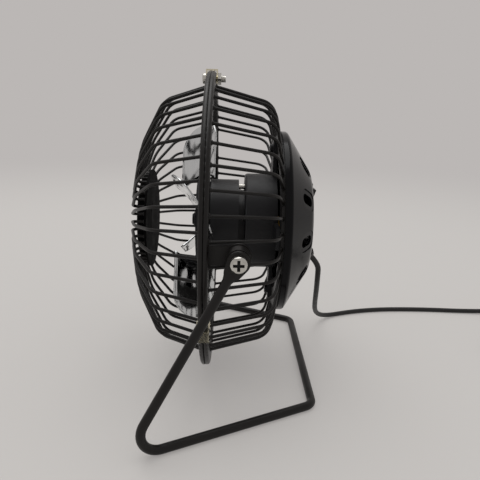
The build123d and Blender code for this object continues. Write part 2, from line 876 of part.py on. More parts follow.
lift = tan(radians(2 * rocker_tilt))
far_side = 2 * rocker_radius
with BuildPart() as switch_rocker:
    with BuildSketch(Plane.YZ):
        with Locations((rocker_pin, switch_z)):
            Circle(rocker_radius)
            Polygon(
                (rocker_face, 0),
                (rocker_face + far_side * lift, far_side),
                (far_side * 2, far_side),
                (far_side * 2, -far_side),
                (rocker_face, -far_side),
                align=None,
                mode=Mode.SUBTRACT,
            )
    extrude(amount=rocker_width / 2, both=True)
save(switch_rocker, "switch_rocker")

with BuildPart() as switch_tabs:
    with BuildSketch(switch_plane.offset(-switch_deep)):
        with Locations((0, switch_height / 4), (0, -switch_height / 4)):
            Rectangle(terminal_width, terminal_thick)
    extrude(amount=-terminal_out)
save(switch_tabs, "switch_terminals")

# Rubber relief in the outlet, tapered where the lead leaves it
relief_back = -outlet_in
with BuildPart() as strain_relief:
    with BuildSketch(outlet_plane.offset(relief_back)):
        Circle(outlet_bore / 2)
    extrude(amount=outlet_in + outlet_out)
    with BuildSketch(outlet_plane.offset(outlet_out)):
        Circle(relief_flange_dia / 2)
    with BuildSketch(outlet_plane.offset(outlet_out + relief_out)):
        Circle(relief_tip_dia / 2)
    loft()
    with BuildSketch(outlet_plane.offset(relief_back)):
        Circle(cord_r + cord_clear)
    extrude(amount=outlet_in + outlet_out + relief_out, mode=Mode.SUBTRACT)
save(strain_relief, "strain_relief")

# Lead: down from the outlet, onto the table, and back to the coil
coil_low = strap_thick + cord_clear * 2 + cord_r
coil_high = coil_low + coil_layer
coil_end = plug_height / 2
coil_x, coil_y = coil_centre
lead_start = outlet_spot + outlet_dir * relief_back
lead_out = outlet_spot + outlet_dir * (outlet_out + relief_out + lead_straight)
lead_points = [
    lead_start,
    lead_out,
    Vector(-7.5, 51.2, 45.0),
    Vector(-17.0, 52.6, 33.0),
    Vector(-29.5, 54.4, 21.5),
    Vector(-42.0, 57.0, 11.8),
    Vector(-52.5, 61.8, 4.8),
    Vector(-60.0, 69.5, cord_r),
    Vector(-65.0, 81.0, cord_r),
    Vector(-69.5, 94.0, cord_r),
    Vector(-73.0, 112.0, cord_r),
    Vector(-74.0, 140.0, cord_r),
    Vector(-72.4, 166.0, cord_r),
    Vector(coil_x - coil_outer, 190.0, coil_low),
    Vector(coil_x - coil_outer, coil_y - cord_dia, coil_low),
]


def lead_radii(points):
    """The largest arc that each corner's two runs leave room for."""
    radii = []
    for before, here, after in zip(points, points[1:], points[2:]):
        arrive = here - before
        leave = after - here
        shorter = min(arrive.length, leave.length)
        half_turn = radians(arrive.get_angle(leave)) / 2
        radii.append(0.45 * shorter / tan(half_turn))
    return radii


radii = lead_radii(lead_points)
print("lead radii mm:", [round(r, 1) for r in radii])
with BuildPart() as cord_free:
    with BuildLine() as lead_path:
        FilletPolyline(*lead_points, radius=radii)
    with BuildSketch(Plane(lead_path.line @ 0, z_dir=lead_path.line % 0)):
        Circle(cord_r)
    sweep()
save(cord_free, "cord_free")
lead_length = sum(edge.length for edge in lead_path.edges())
tube_volume = pi * cord_r**2 * lead_length
print("lead length mm:", round(lead_length, 1))
print("lead volume over section times length:", round(cord_free.part.volume / tube_volume, 4))

# Coil: half turns that spiral in on the lower layer and out again on the upper one
half_step = coil_pitch / 2
half_turns = 2 * coil_turns
coil_stops = []
for i in range(half_turns + 1):
    coil_stops.append((coil_outer - i * half_step, coil_low))
for i in range(half_turns):
    coil_stops.append((coil_stops[half_turns][0] + i * half_step, coil_high))
coil_stops.append((coil_stops[-1][0] + coil_last_step, coil_end))


def coil_point(index):
    """A stop of the coil, on alternate sides of its centre."""
    reach, height = coil_stops[index]
    side = -1 if index % 2 == 0 else 1
    return Vector(coil_x + side * reach, coil_y, height)


coil_samples = []
with BuildPart() as cord_coil:
    with BuildLine() as coil_path:
        entry = coil_point(0)
        Line(entry - Vector(0, cord_dia, 0), entry)
        for i in range(len(coil_stops) - 1):
            here, there = coil_point(i), coil_point(i + 1)
            bulge = (there - here).length / 2 * (1 if i % 2 == 0 else -1)
            crest_point = (here + there) / 2 + Vector(0, bulge, 0)
            turn = ThreePointArc(here, crest_point, there)
            coil_samples += [turn @ (k / 24) for k in range(24)]
        leave = coil_point(len(coil_stops) - 1)
        Line(leave, leave - Vector(0, plug_lead, 0))
    with BuildSketch(Plane(coil_path.line @ 0, z_dir=coil_path.line % 0)):
        Circle(cord_r)
    sweep()
save(cord_coil, "cord_coil")
coil_gap = min(
    (a - b).length - cord_dia
    for i, a in enumerate(coil_samples)
    for b in coil_samples[i + 16:]
)
coil_length = sum(edge.length for edge in coil_path.edges())
coil_volume = pi * cord_r**2 * coil_length
print("coil length mm:", round(coil_length, 1), "least gap to itself mm:", round(coil_gap, 2))
print("coil volume over section times length:", round(cord_coil.part.volume / coil_volume, 4))

# Strap round one side of the coil
strap_in = coil_x - coil_outer - cord_r - strap_clear
strap_out = coil_x - coil_stops[half_turns][0] + cord_r + strap_clear
strap_top = coil_high + cord_r + strap_clear
with BuildPart() as coil_tie:
    with BuildSketch(Plane.XZ.offset(-coil_y - strap_width / 2)):
        with BuildLine():
            Polyline(
                (strap_in - strap_thick, 0),
                (strap_out + strap_thick, 0),
                (strap_out + strap_thick, strap_top + strap_thick),
                (strap_in - strap_thick, strap_top + strap_thick),
                close=True,
            )
        make_face()
        with BuildLine():
            Polyline(
                (strap_in, strap_thick),
                (strap_out, strap_thick),
                (strap_out, strap_top),
                (strap_in, strap_top),
                close=True,
            )
        make_face(mode=Mode.SUBTRACT)
    extrude(amount=strap_width)
save(coil_tie, "coil_tie")

# Plug at the far end of the lead: moulded grip, sheet shell, tongue and contacts
plug_spot = leave - Vector(0, plug_lead, 0)


def plug_plane(along):
    """A plane square to the plug, its normal along the way it plugs in."""
    return Plane(plug_spot - Vector(0, along, 0), x_dir=(1, 0, 0), z_dir=(0, -1, 0))


grip_end = plug_relief_length + plug_length
with BuildPart() as plug_body:
    with BuildSketch(plug_plane(plug_relief_length)):
        RectangleRounded(plug_width, plug_height, plug_round)
    extrude(amount=plug_length)
    fillet(plug_body.faces().sort_by(Axis.Y)[-1].edges(), plug_shoulder)
    with BuildSketch(plug_plane(0)):
        Circle(relief_tip_dia / 2)
    with BuildSketch(plug_plane(plug_relief_length)):
        Circle(plug_relief_dia / 2)
    loft()
save(plug_body, "plug_body")

with BuildPart() as plug_shell:
    with BuildSketch(plug_plane(grip_end)):
        Rectangle(usb_width, usb_height)
        Rectangle(usb_width - 2 * usb_sheet, usb_height - 2 * usb_sheet, mode=Mode.SUBTRACT)
    extrude(amount=usb_length)
    with BuildSketch(Plane(plug_spot - Vector(0, grip_end + usb_window_out, 0))):
        with Locations((usb_width / 4, 0), (-usb_width / 4, 0)):
            Rectangle(usb_window, usb_window)
    extrude(amount=usb_height, both=True, mode=Mode.SUBTRACT)
save(plug_shell, "plug_shell")

tongue_drop = usb_height / 2 - usb_sheet - tongue_thick / 2
with BuildPart() as plug_tongue:
    with BuildSketch(plug_plane(grip_end)):
        with Locations((0, tongue_drop)):
            Rectangle(usb_width - 2 * usb_sheet, tongue_thick)
    extrude(amount=tongue_length)
save(plug_tongue, "plug_tongue")

with BuildPart() as plug_contacts:
    with BuildSketch(plug_plane(grip_end)):
        with Locations((0, tongue_drop - tongue_thick / 2 - contact_thick / 2)):
            with GridLocations(contact_step, 1, contact_count, 1):
                Rectangle(contact_width, contact_thick)
    extrude(amount=contact_length)
save(plug_contacts, "plug_contacts")
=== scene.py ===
"""A small black desk fan on a bent-rod stand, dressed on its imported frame."""
import math
import bpy
from mathutils import Matrix, Vector


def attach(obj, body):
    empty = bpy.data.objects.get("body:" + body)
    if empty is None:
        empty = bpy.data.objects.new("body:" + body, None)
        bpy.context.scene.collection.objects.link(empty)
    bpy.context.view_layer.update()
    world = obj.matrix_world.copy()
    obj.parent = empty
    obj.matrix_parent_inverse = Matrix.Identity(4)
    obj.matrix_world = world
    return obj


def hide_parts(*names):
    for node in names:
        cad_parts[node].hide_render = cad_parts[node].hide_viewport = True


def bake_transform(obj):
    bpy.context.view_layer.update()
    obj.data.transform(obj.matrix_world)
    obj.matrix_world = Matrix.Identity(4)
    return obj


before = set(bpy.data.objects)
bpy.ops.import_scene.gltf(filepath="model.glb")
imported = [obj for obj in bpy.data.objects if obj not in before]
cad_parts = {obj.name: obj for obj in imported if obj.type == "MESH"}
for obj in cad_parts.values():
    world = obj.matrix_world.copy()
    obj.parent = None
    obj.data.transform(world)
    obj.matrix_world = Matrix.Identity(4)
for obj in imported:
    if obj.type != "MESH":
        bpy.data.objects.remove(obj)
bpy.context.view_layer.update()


# Stand: one steel rod, bent cold into two arms and a base, with its ends pressed flat and drilled.
# It is dipped in black enamel and stoved, which rounds every edge, goes brownish where it is thin
# and keeps a faint orange peel.
def linear(code):
    """An sRGB hex colour as the linear colour that a shader takes."""
    shares = [int(code[i:i + 2], 16) / 255 for i in (1, 3, 5)]
    return [c / 12.92 if c <= 0.04045 else ((c + 0.055) / 1.055) ** 2.4 for c in shares] + [1.0]


def add_node(tree, kind, inputs=None, **settings):
    """Add a node, set its options, and set or link each of the inputs given."""
    node = tree.nodes.new(kind)
    for name, value in settings.items():
        setattr(node, name, value)
    for name, value in (inputs or {}).items():
        if isinstance(value, bpy.types.NodeSocket):
            tree.links.new(value, node.inputs[name])
        else:
            node.inputs[name].default_value = value
    return node


def start_material(name):
    """A new material and its empty tree."""
    material = bpy.data.materials.new(name)
    material.use_nodes = True
    material.node_tree.nodes.clear()
    return material, material.node_tree


def close_material(tree, inputs):
    """The shader and the output that end a material."""
    shader = add_node(tree, "ShaderNodeBsdfPrincipled", inputs)
    add_node(tree, "ShaderNodeOutputMaterial", {"Surface": shader.outputs["BSDF"]})


def drifting_finish(name, dark, light, patch, grain, relief, gloss, stretch=None, **sockets):
    """A finish whose tone and gloss drift from patch to patch, over a skin with a fine grain."""
    material, tree = start_material(name)
    spot = add_node(tree, "ShaderNodeTexCoord").outputs["Object"]
    if stretch:
        spot = add_node(tree, "ShaderNodeMapping", {"Vector": spot, "Scale": stretch}).outputs["Vector"]
    drift = add_node(tree, "ShaderNodeTexNoise", {
        "Vector": spot, "Scale": 1 / patch, "Detail": 5, "Roughness": 0.6}).outputs["Fac"]
    skin = add_node(tree, "ShaderNodeTexNoise", {
        "Vector": spot, "Scale": 1 / grain, "Detail": 2}).outputs["Fac"]
    tone = add_node(tree, "ShaderNodeMix", {0: drift, 6: linear(dark), 7: linear(light)}, data_type="RGBA")
    shine = add_node(tree, "ShaderNodeMapRange", {
        "Value": drift, "From Min": 0.3, "From Max": 0.7, "To Min": gloss[0], "To Max": gloss[1]})
    bump = add_node(tree, "ShaderNodeBump", {"Height": skin, "Strength": 0.6, "Distance": relief})
    close_material(tree, {
        "Base Color": tone.outputs[2],
        "Roughness": shine.outputs["Result"],
        "Normal": bump.outputs["Normal"],
        **sockets,
    })
    return material


def dress(material, *nodes):
    """Give CAD nodes their finish."""
    for name in nodes:
        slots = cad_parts[name].data.materials
        slots.clear()
        slots.append(material)


# Stoved enamel: the peel is about a millimetre wide, the thin brownish patches about 14 mm.
enamel = drifting_finish(
    "Black stoved enamel", "#0a0908", "#171412", patch=0.014, grain=0.0011, relief=0.00006,
    gloss=(0.3, 0.46), **{"Specular IOR Level": 0.28})
dress(enamel, "stand_rod")


# Rims, ears and posts: two rolled channel rings that meet edge to edge, with a flat ear welded
# behind the rear one on each side, and a threaded post riveted into each ear. All are steel,
# enamelled together with the wires.
dress(enamel, "front_rim", "rear_rim", "pivot_ears", "pivot_posts")
ring_centre = Vector((0.0, -0.0085, 0.079))


# Grille wires: forty bent steel wires in each half, resistance-welded to the rims, to the front
# plate and to the rear ring. Each weld leaves a small bead under the enamel.
def start_tree(name, inputs):
    """A geometry tree with named inputs, and the sockets that give them."""
    tree = bpy.data.node_groups.new(name, "GeometryNodeTree")
    tree.interface.new_socket(name="Geometry", in_out="INPUT", socket_type="NodeSocketGeometry")
    for label, kind in inputs.items():
        tree.interface.new_socket(name=label, in_out="INPUT", socket_type="NodeSocket" + kind)
    tree.interface.new_socket(name="Geometry", in_out="OUTPUT", socket_type="NodeSocketGeometry")
    return tree, add_node(tree, "NodeGroupInput").outputs


def close_tree(tree, geometry, material):
    """Realise what was made, give it its finish and put it out."""
    real = add_node(tree, "GeometryNodeRealizeInstances", {"Geometry": geometry})
    finish = add_node(tree, "GeometryNodeSetMaterial", {
        "Geometry": real.outputs["Geometry"], "Material": material})
    add_node(tree, "NodeGroupOutput", {"Geometry": finish.outputs["Geometry"]})


def copies_round_axis(tree, given, geometry):
    """Copies of a piece, evenly spaced round the fan's axis and moved to the ring's centre."""
    points = add_node(tree, "GeometryNodePoints", {"Count": given["Count"]})
    step = add_node(tree, "ShaderNodeMath", {0: math.tau, 1: given["Count"]}, operation="DIVIDE")
    index = add_node(tree, "GeometryNodeInputIndex")
    turn = add_node(tree, "ShaderNodeMath", {
        0: index.outputs[0], 1: step.outputs[0], 2: given["Start Angle"]}, operation="MULTIPLY_ADD")
    rotation = add_node(tree, "FunctionNodeAxisAngleToRotation", {
        "Axis": (0, 1, 0), "Angle": turn.outputs[0]})
    copies = add_node(tree, "GeometryNodeInstanceOnPoints", {
        "Points": points.outputs[0], "Instance": geometry, "Rotation": rotation.outputs[0]})
    moved = add_node(tree, "GeometryNodeTransform", {
        "Geometry": copies.outputs[0], "Translation": given["Ring Centre"]})
    return moved.outputs[0]


def add_piece(name, data):
    """A new object at the origin, with its place in its mesh."""
    piece = bpy.data.objects.new(name, data)
    bpy.context.scene.collection.objects.link(piece)
    return piece


def plain_mesh(piece):
    """The evaluated piece as a plain mesh."""
    bpy.context.view_layer.update()
    graph = bpy.context.evaluated_depsgraph_get()
    return bpy.data.meshes.new_from_object(piece.evaluated_get(graph))


def grow_piece(seed, tree, values):
    """Run a tree on a seed object, and leave a plain piece in its place."""
    modifier = seed.modifiers.new("Grow", "NODES")
    modifier.node_group = tree
    for item in tree.interface.items_tree:
        if item.in_out == "INPUT" and item.name in values:
            modifier[item.identifier] = values[item.name]
    mesh = plain_mesh(seed)
    name = seed.name
    bpy.data.objects.remove(seed)
    mesh.name = name
    return add_piece(name, mesh)


def wire_tree():
    """One wire bent along a path, its two weld beads, and copies of them round the fan's axis."""
    tree, given = start_tree("Grille wires", {
        "Count": "Int", "Start Angle": "Float", "Ring Centre": "Vector", "Wire Diameter": "Float",
        "Rim Weld": "Vector", "Inner Weld": "Vector", "Bead Diameter": "Float", "Finish": "Material"})
    path = add_node(tree, "GeometryNodeMeshToCurve", {"Mesh": given["Geometry"]})
    bend = add_node(tree, "GeometryNodeInputNamedAttribute", {"Name": "bend"}, data_type="FLOAT")
    bent = add_node(tree, "GeometryNodeFilletCurve", {
        "Curve": path.outputs[0], "Count": 9, "Radius": bend.outputs[0], "Limit Radius": True}, mode="POLY")
    wire_r = add_node(tree, "ShaderNodeMath", {0: given["Wire Diameter"], 1: 0.5}, operation="MULTIPLY")
    section = add_node(tree, "GeometryNodeCurvePrimitiveCircle", {
        "Resolution": 10, "Radius": wire_r.outputs[0]})
    wire = add_node(tree, "GeometryNodeCurveToMesh", {
        "Curve": bent.outputs[0], "Profile Curve": section.outputs[0], "Fill Caps": True})
    bead_r = add_node(tree, "ShaderNodeMath", {0: given["Bead Diameter"], 1: 0.5}, operation="MULTIPLY")
    bead = add_node(tree, "GeometryNodeMeshUVSphere", {
        "Segments": 10, "Rings": 6, "Radius": bead_r.outputs[0]})
    outer = add_node(tree, "GeometryNodeTransform", {
        "Geometry": bead.outputs["Mesh"], "Translation": given["Rim Weld"], "Scale": (1, 0.6, 1)})
    inner = add_node(tree, "GeometryNodeTransform", {
        "Geometry": bead.outputs["Mesh"], "Translation": given["Inner Weld"], "Scale": (1, 0.6, 1)})
    whole = add_node(tree, "GeometryNodeJoinGeometry")
    for part in (wire.outputs[0], outer.outputs[0], inner.outputs[0]):
        tree.links.new(part, whole.inputs[0])
    smooth = add_node(tree, "GeometryNodeSetShadeSmooth", {"Geometry": whole.outputs[0]})
    close_tree(tree, copies_round_axis(tree, given, smooth.outputs[0]), given["Finish"])
    return tree


def wire_path(name, corners):
    """A wire's path as radius and depth, with the bend's radius at each corner."""
    mesh = bpy.data.meshes.new(name)
    spots = [(radius / 1000, depth / 1000, 0) for radius, depth, _ in corners]
    mesh.from_pydata(spots, [(i, i + 1) for i in range(len(spots) - 1)], [])
    bends = mesh.attributes.new("bend", "FLOAT", "POINT")
    for i, corner in enumerate(corners):
        bends.data[i].value = corner[2] / 1000
    return add_piece(name, mesh)


wire_count = 40
wire_dia = 0.0015
bead_dia = 0.0024
rim_depth = 0.0021
front_turn = math.radians(1.3)
rear_turn = math.pi / wire_count
# The corners of each path are a radius, a depth and a bend, in millimetres from the ring's centre.
front_corners = [(66.8, -2.1, 0), (60, -22.5, 9), (42, -32, 30), (23, -36.4, 2.4), (23, -30.7, 0)]
front_welds = (0.0668, -rim_depth, 0), (0.023, -0.0306, 0)
rear_corners = [(66.95, 2.1, 0), (59.5, 30.5, 9), (43.9, 33.67, 0)]
rear_welds = (0.06695, rim_depth, 0), (0.0441, 0.0337, 0)
wires = wire_tree()
for name, node, corners, turn, welds in (
        ("front_wires", "front_grille_wires", front_corners, front_turn, front_welds),
        ("rear_wires", "rear_grille_wires", rear_corners, rear_turn, rear_welds)):
    piece = grow_piece(wire_path(name, corners), wires, {
        "Count": wire_count, "Start Angle": turn, "Ring Centre": ring_centre, "Wire Diameter": wire_dia,
        "Rim Weld": welds[0], "Inner Weld": welds[1], "Bead Diameter": bead_dia, "Finish": enamel})
    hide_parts(node)
    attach(piece, "head")


# Front plate and disc: a pressed plate that the front wires are welded to, and a plain domed
# disc of black ABS, which is pushed through it from the front. Both have a dull, sooty skin.
dull_black = drifting_finish(
    "Dull black skin", "#040404", "#090808", patch=0.009, grain=0.0007, relief=0.00004,
    gloss=(0.6, 0.78), **{"Specular IOR Level": 0.05})
dress(dull_black, "front_centre_plate", "badge_disc")


# Motor shell, spacer and housing: three turned-looking mouldings in satin black ABS, held end to
# end by two long screws. Spark-eroded moulds leave a fine even grain on them.
satin_abs = drifting_finish(
    "Black ABS from a spark-eroded mould", "#0b0b0d", "#131316", patch=0.02, grain=0.0006, relief=0.00004,
    gloss=(0.36, 0.5), **{"Specular IOR Level": 0.3})
dress(satin_abs, "motor_shell", "motor_spacer", "rear_housing")


# Motor: a drawn steel can with two ferrite magnets, a slotted rotor on a ground shaft, bushes and
# terminals of brass, and a moulded end cap. It is pushed into the shell.
drawn_steel = drifting_finish(
    "Plain drawn steel", "#8f8f8b", "#b4b3ae", patch=0.006, grain=0.0009, relief=0.00002,
    gloss=(0.25, 0.42), stretch=(1, 0.15, 1), Metallic=1.0)
ferrite = drifting_finish(
    "Sintered ferrite", "#26262a", "#3a3a3c", patch=0.003, grain=0.0004, relief=0.00005, gloss=(0.6, 0.8))
brass = drifting_finish(
    "Stamped brass", "#b8913f", "#d8b566", patch=0.003, grain=0.0007, relief=0.00002,
    gloss=(0.2, 0.38), Metallic=1.0)
dress(drawn_steel, "motor_can", "motor_rotor", "motor_shaft")
dress(ferrite, "motor_magnets")
dress(brass, "motor_bushings", "motor_terminals")
dress(satin_abs, "motor_end_cap")


# Hub and blades: a moulded cup on the shaft, under a dome nut, with four blades of polished
# aluminium sheet riveted to it. Each blade is pressed to a curve and set at a steep pitch.
dress(satin_abs, "blade_hub")
hub_radius = 22.5
blade_tip = 51.0
blade_chord = 32.0
blade_root = 26.0
blade_pitch = math.radians(36)
blade_camber = 2.0
blade_middle = -7.5
blade_corner = 9.0
blade_sheet = 0.8
blade_count = 4
blade_start = math.radians(68)
rows = 26
columns = 22
fit_steps = 6


def blade_point(row, column):
    """A point of the blade's middle sheet: radius, depth and height, in millimetres."""
    out = math.sin(row / rows * math.pi / 2)
    radius = hub_radius + (blade_tip - hub_radius) * out
    tip_half = blade_chord * math.cos(blade_pitch) / 2
    half = blade_root / 2 + (tip_half - blade_root / 2) * out
    past = max(0.0, radius - (blade_tip - blade_corner))
    half -= blade_corner - math.sqrt(blade_corner**2 - past**2)
    across = half * (2 * column / columns - 1)
    curve = (blade_chord**2 / 4 + blade_camber**2) / (2 * blade_camber)
    along = across / math.cos(blade_pitch)
    for _ in range(fit_steps):
        rise = math.sqrt(curve**2 - along**2) - (curve - blade_camber) + blade_sheet / 2
        along = (across + rise * math.sin(blade_pitch)) / math.cos(blade_pitch)
    radius -= (blade_tip - math.sqrt(blade_tip**2 - across**2)) * out
    radius -= (hub_radius - math.sqrt(hub_radius**2 - across**2)) * (1 - out)
    depth = blade_middle + along * math.sin(blade_pitch) + rise * math.cos(blade_pitch)
    return radius / 1000, depth / 1000, -across / 1000


def polished_aluminium():
    """Bright rolled sheet: fine roll lines along the blade, soft dents, and a little haze."""
    line_width = 0.0005
    dent_width = 0.011
    material, tree = start_material("Polished aluminium sheet")
    place = add_node(tree, "ShaderNodeTexCoord").outputs["Object"]
    sheet = add_node(tree, "ShaderNodeUVMap", uv_map="Sheet").outputs["UV"]
    drawn = add_node(tree, "ShaderNodeMapping", {"Vector": sheet, "Scale": (0.04, 1, 1)}).outputs["Vector"]
    lines = add_node(tree, "ShaderNodeTexNoise", {
        "Vector": drawn, "Scale": 1 / line_width, "Detail": 3}).outputs["Fac"]
    dents = add_node(tree, "ShaderNodeTexNoise", {
        "Vector": place, "Scale": 1 / dent_width, "Detail": 1}).outputs["Fac"]
    tone = add_node(tree, "ShaderNodeMix", {
        0: lines, 6: linear("#c9cccd"), 7: linear("#e6e8e9")}, data_type="RGBA")
    haze = add_node(tree, "ShaderNodeMapRange", {"Value": lines, "To Min": 0.05, "To Max": 0.14})
    waves = add_node(tree, "ShaderNodeBump", {"Height": dents, "Strength": 0.5, "Distance": 0.0008})
    close_material(tree, {
        "Base Color": tone.outputs[2], "Metallic": 1.0, "Roughness": haze.outputs["Result"],
        "Normal": waves.outputs["Normal"]})
    return material


def blade_tree():
    """Copies of one blade round the fan's axis."""
    tree, given = start_tree("Blades", {
        "Count": "Int", "Start Angle": "Float", "Ring Centre": "Vector", "Finish": "Material"})
    smooth = add_node(tree, "GeometryNodeSetShadeSmooth", {"Geometry": given["Geometry"]})
    close_tree(tree, copies_round_axis(tree, given, smooth.outputs[0]), given["Finish"])
    return tree


blade_mesh = bpy.data.meshes.new("blades")
spots = [blade_point(row, column) for row in range(rows + 1) for column in range(columns + 1)]
faces = [(i, i + 1, i + columns + 2, i + columns + 1)
         for i in range(rows * (columns + 1)) if (i + 1) % (columns + 1)]
blade_mesh.from_pydata(spots, [], faces)
sheet_map = blade_mesh.uv_layers.new(name="Sheet")
for loop in blade_mesh.loops:
    radius, depth, across = spots[loop.vertex_index]
    sheet_map.data[loop.index].uv = (radius, math.hypot(depth, across) * (1 if across > 0 else -1))
blade = add_piece("blades", blade_mesh)
sheet = blade.modifiers.new("Sheet", "SOLIDIFY")
sheet.thickness = blade_sheet / 1000
sheet.offset = 0
blades = grow_piece(blade, blade_tree(), {
    "Count": blade_count, "Start Angle": blade_start, "Ring Centre": ring_centre,
    "Finish": polished_aluminium()})
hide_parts("fan_blades")
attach(blades, "rotor")


# Rear ring and cover: an enamelled ring that the rear wires are welded to, and a domed cover in
# glossy black ABS, with a sunk vent in each of ten places. Two screws hold both to the housing.
dress(enamel, "rear_support_ring")
# The cover comes from a polished mould: deep black, with finger smudges a centimetre or so wide.
glossy_abs = drifting_finish(
    "Black ABS from a polished mould", "#040405", "#09090b", patch=0.011, grain=0.003, relief=0.00003,
    gloss=(0.1, 0.22), **{"Specular IOR Level": 0.12})
dress(glossy_abs, "rear_cover")


# Fasteners: zinc-plated steel, bright with a faint yellowish bloom. The tilt screws have a cross
# recess and a split washer under the head, over a fibre washer; the rim's screw shows its thread.
zinc_dark = "#b6b4ae"
zinc_light = "#dcdad4"
zinc = drifting_finish(
    "Bright zinc plate", zinc_dark, zinc_light, patch=0.002, grain=0.0005, relief=0.00001,
    gloss=(0.16, 0.34), Metallic=1.0)
fibre = drifting_finish(
    "Vulcanised fibre", "#1c1a19", "#2a2725", patch=0.002, grain=0.0005, relief=0.00005, gloss=(0.6, 0.8))
black_zinc = drifting_finish(
    "Black zinc plate", "#141416", "#232325", patch=0.002, grain=0.0005, relief=0.00001,
    gloss=(0.35, 0.5), Metallic=0.6)
dress(zinc, "spring_washers", "housing_screws", "rim_screw", "rim_nut")
dress(black_zinc, "cover_screws", "hub_nut")
dress(fibre, "pivot_washers")


def recessed_zinc():
    """The same plating on the tilt screws, with painted shade inside the cross recess: darker, duller and
    less metallic there.
    """
    recess_top = 0.0806
    recess_reach = 0.0024
    pivot_spot = (0.0, 0.0056, 0.079)
    plate_patch = 0.002
    material, tree = start_material("Zinc plate, painted shade in the recess")
    place = add_node(tree, "ShaderNodeTexCoord").outputs["Object"]
    drift = add_node(tree, "ShaderNodeTexNoise", {
        "Vector": place, "Scale": 1 / plate_patch, "Detail": 4}).outputs["Fac"]
    sideways = add_node(tree, "ShaderNodeSeparateXYZ", {"Vector": place}).outputs["X"]
    out = add_node(tree, "ShaderNodeMath", {0: sideways}, operation="ABSOLUTE").outputs[0]
    sunk = add_node(tree, "ShaderNodeMath", {0: out, 1: recess_top}, operation="LESS_THAN").outputs[0]
    flat = add_node(tree, "ShaderNodeVectorMath", {0: place, 1: (0, 1, 1)}, operation="MULTIPLY").outputs[0]
    away = add_node(tree, "ShaderNodeVectorMath", {0: flat, 1: pivot_spot}, operation="DISTANCE")
    near = add_node(tree, "ShaderNodeMath", {
        0: away.outputs["Value"], 1: recess_reach}, operation="LESS_THAN").outputs[0]
    # Painted shade: inside the cross recess the plate turns near black, dull and less metallic, standing
    # for the shade that falls in it.
    painted_recess_shade = add_node(tree, "ShaderNodeMath", {0: sunk, 1: near}, operation="MULTIPLY").outputs[0]
    plate = add_node(tree, "ShaderNodeMix", {
        0: drift, 6: linear(zinc_dark), 7: linear(zinc_light)}, data_type="RGBA").outputs[2]
    tone = add_node(tree, "ShaderNodeMix", {0: painted_recess_shade, 6: plate, 7: linear("#1b1917")}, data_type="RGBA")
    bright = add_node(tree, "ShaderNodeMapRange", {"Value": painted_recess_shade, "To Min": 1.0, "To Max": 0.2})
    dull = add_node(tree, "ShaderNodeMapRange", {"Value": painted_recess_shade, "To Min": 0.22, "To Max": 0.7})
    close_material(tree, {
        "Base Color": tone.outputs[2], "Metallic": bright.outputs["Result"],
        "Roughness": dull.outputs["Result"]})
    return material


dress(recessed_zinc(), "pivot_screws")
thread_pitch = 0.0005
thread_dia = 0.003
nut_back = 0.0045
screw_height = 0.0704
thread_start = ring_centre + Vector((0.0, nut_back, screw_height))
thread_length = 0.0020


def thread_tree():
    """A ridge wound round the tail of a screw."""
    tree, given = start_tree("Screw thread", {
        "Pitch": "Float", "Diameter": "Float", "Length": "Float", "Start": "Vector", "Finish": "Material"})
    half = add_node(tree, "ShaderNodeMath", {0: given["Diameter"], 1: 0.5}, operation="MULTIPLY")
    turns = add_node(tree, "ShaderNodeMath", {0: given["Length"], 1: given["Pitch"]}, operation="DIVIDE")
    ridge = add_node(tree, "ShaderNodeMath", {0: given["Pitch"], 1: 0.4}, operation="MULTIPLY")
    winding = add_node(tree, "GeometryNodeCurveSpiral", {
        "Resolution": 24, "Rotations": turns.outputs[0], "Start Radius": half.outputs[0],
        "End Radius": half.outputs[0], "Height": given["Length"]})
    section = add_node(tree, "GeometryNodeCurvePrimitiveCircle", {
        "Resolution": 4, "Radius": ridge.outputs[0]})
    thread = add_node(tree, "GeometryNodeCurveToMesh", {
        "Curve": winding.outputs[0], "Profile Curve": section.outputs[0], "Fill Caps": True})
    laid = add_node(tree, "GeometryNodeTransform", {
        "Geometry": thread.outputs[0], "Translation": given["Start"], "Rotation": (-math.pi / 2, 0, 0)})
    close_tree(tree, laid.outputs[0], given["Finish"])
    return tree


thread_seed = add_piece("rim_screw_thread", bpy.data.meshes.new("rim_screw_thread"))
thread = grow_piece(thread_seed, thread_tree(), {
    "Pitch": thread_pitch, "Diameter": thread_dia, "Length": thread_length, "Start": thread_start,
    "Finish": zinc})
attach(thread, "head")


# Rim clips: clear plastic clips over both rims, one under the screw at the top and one low on
# each side. They are moulded, and have yellowed a little with age.
def clear_clip():
    """Clear plastic, yellower in patches. Its index is low, since thin walls hardly bend what is behind."""
    patch_size = 0.01
    thin_wall_index = 1.2
    material, tree = start_material("Yellowed clear plastic")
    place = add_node(tree, "ShaderNodeTexCoord").outputs["Object"]
    cloud = add_node(tree, "ShaderNodeTexNoise", {
        "Vector": place, "Scale": 1 / patch_size, "Detail": 4}).outputs["Fac"]
    tone = add_node(tree, "ShaderNodeMix", {
        0: cloud, 6: linear("#ebe7da"), 7: linear("#d9d0ae")}, data_type="RGBA")
    haze = add_node(tree, "ShaderNodeMapRange", {"Value": cloud, "To Min": 0.05, "To Max": 0.12})
    close_material(tree, {
        "Base Color": tone.outputs[2], "Roughness": haze.outputs["Result"],
        "Transmission Weight": 0.94, "IOR": thin_wall_index})
    return material


dress(clear_clip(), "rim_clips")


# Switch: a snap-in rocker in the cover's back. Its body is satin black, its rocker is polished a
# little by fingers, and two brass tabs stick out of its back.
rocker_plastic = drifting_finish(
    "Black rocker plastic", "#0d0d0e", "#161618", patch=0.003, grain=0.0005, relief=0.00003,
    gloss=(0.25, 0.45), **{"Specular IOR Level": 0.4})
dress(satin_abs, "switch_body")
dress(rocker_plastic, "switch_rocker")
dress(brass, "switch_terminals")


